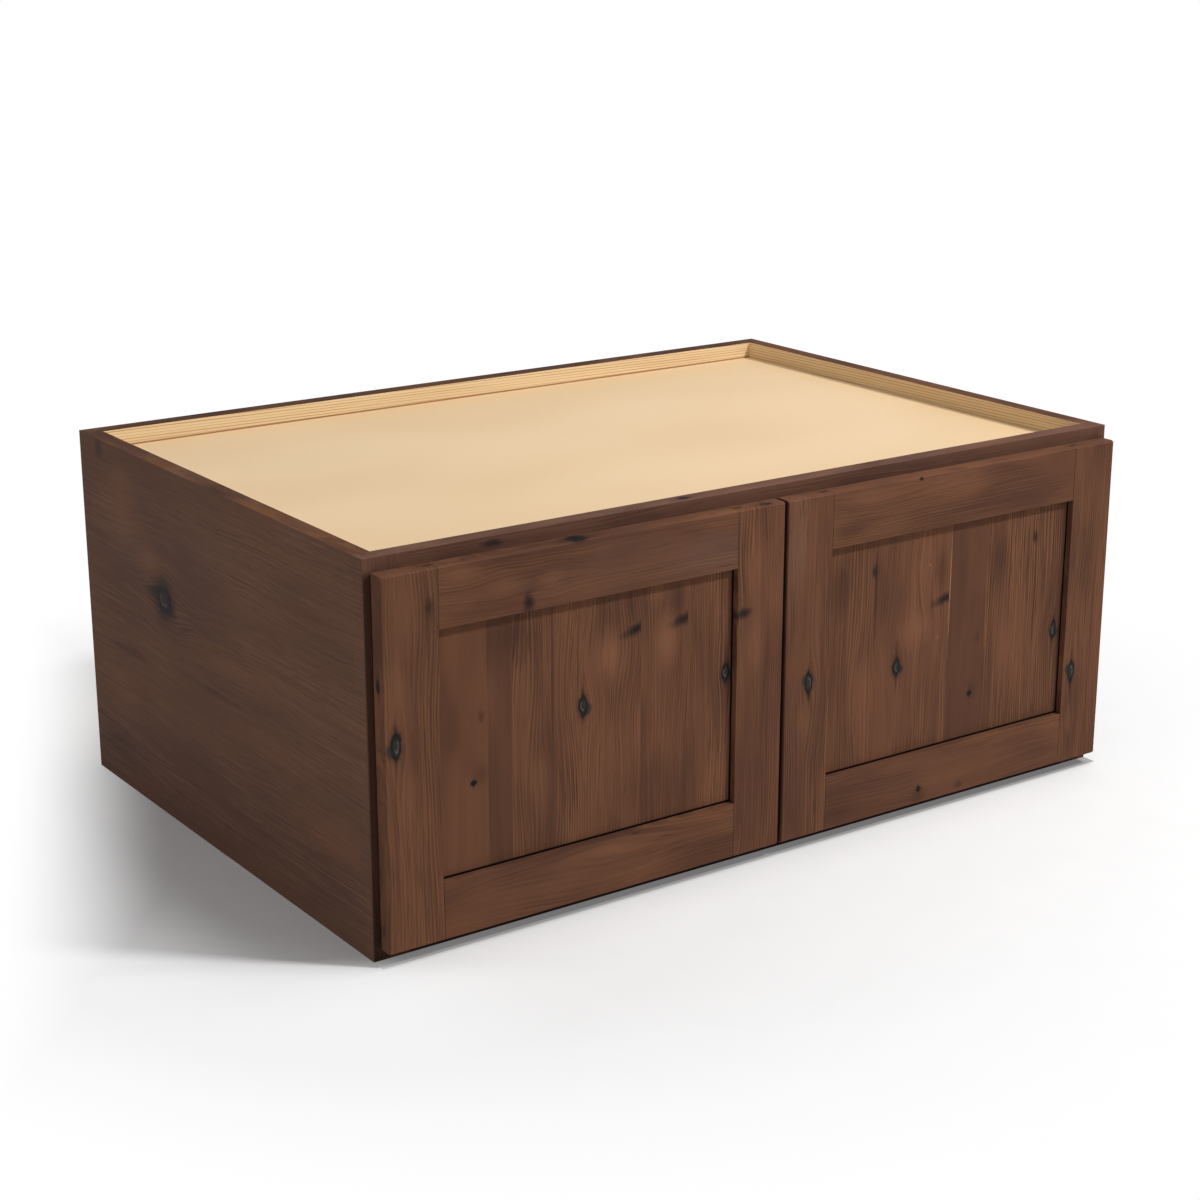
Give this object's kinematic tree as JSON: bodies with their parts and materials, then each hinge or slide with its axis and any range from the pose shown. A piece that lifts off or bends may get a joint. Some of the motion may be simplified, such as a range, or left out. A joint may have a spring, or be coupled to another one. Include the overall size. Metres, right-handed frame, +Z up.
{
  "type": "kitchen wall cabinet",
  "caption": "Deep wall cabinet with a face frame and a pair of recessed-panel overlay doors on concealed cup hinges, for storage above a refrigerator.",
  "frame": {"origin": "middle of the footprint, doors included, on the plane that the cabinet stands on", "axes": "+X to the right seen from the front, -Y towards the user (the doors face -Y), +Z up"},
  "size_m": [0.9144, 0.6296, 0.381],
  "materials": {
    "stained_alder": "brown stain under satin lacquer",
    "clear_maple": "clear satin",
    "nickel_steel": "nickel plated",
    "bumper": "soft clear"
  },
  "bodies": {
    "cabinet": {"left_side_panel": "stained_alder", "right_side_panel": "stained_alder", "top_panel": "clear_maple", "bottom_panel": "clear_maple", "back_panel": "clear_maple", "bottom_hanging_rail": "clear_maple", "top_hanging_rail": "clear_maple", "frame_left_stile": "stained_alder", "frame_right_stile": "stained_alder", "frame_top_rail": "stained_alder", "frame_bottom_rail": "stained_alder", "left_lower_hinge_arm": "nickel_steel", "left_lower_hinge_base": "nickel_steel", "left_upper_hinge_arm": "nickel_steel", "left_upper_hinge_base": "nickel_steel", "right_lower_hinge_arm": "nickel_steel", "right_lower_hinge_base": "nickel_steel", "right_upper_hinge_arm": "nickel_steel", "right_upper_hinge_base": "nickel_steel"},
    "left_door": {"left_door_hinge_stile": "stained_alder", "left_door_lock_stile": "stained_alder", "left_door_top_rail": "stained_alder", "left_door_bottom_rail": "stained_alder", "left_door_panel": "stained_alder", "left_door_bumpers": "bumper", "left_lower_hinge_cup": "nickel_steel", "left_upper_hinge_cup": "nickel_steel", "left_hinge_pins": "nickel_steel"},
    "right_door": {"right_door_hinge_stile": "stained_alder", "right_door_lock_stile": "stained_alder", "right_door_top_rail": "stained_alder", "right_door_bottom_rail": "stained_alder", "right_door_panel": "stained_alder", "right_door_bumpers": "bumper", "right_lower_hinge_cup": "nickel_steel", "right_upper_hinge_cup": "nickel_steel", "right_hinge_pins": "nickel_steel"}
  },
  "joints": [
    {"name": "left_door_swing", "type": "hinge", "parent": "cabinet", "child": "left_door", "pos_m": [-0.444, -0.3064, 0.1905], "axis": [0, 0, -1], "range_deg": [0, 100]},
    {"name": "right_door_swing", "type": "hinge", "parent": "cabinet", "child": "right_door", "pos_m": [0.444, -0.3064, 0.1905], "axis": [0, 0, 1], "range_deg": [0, 100]}
  ]
}
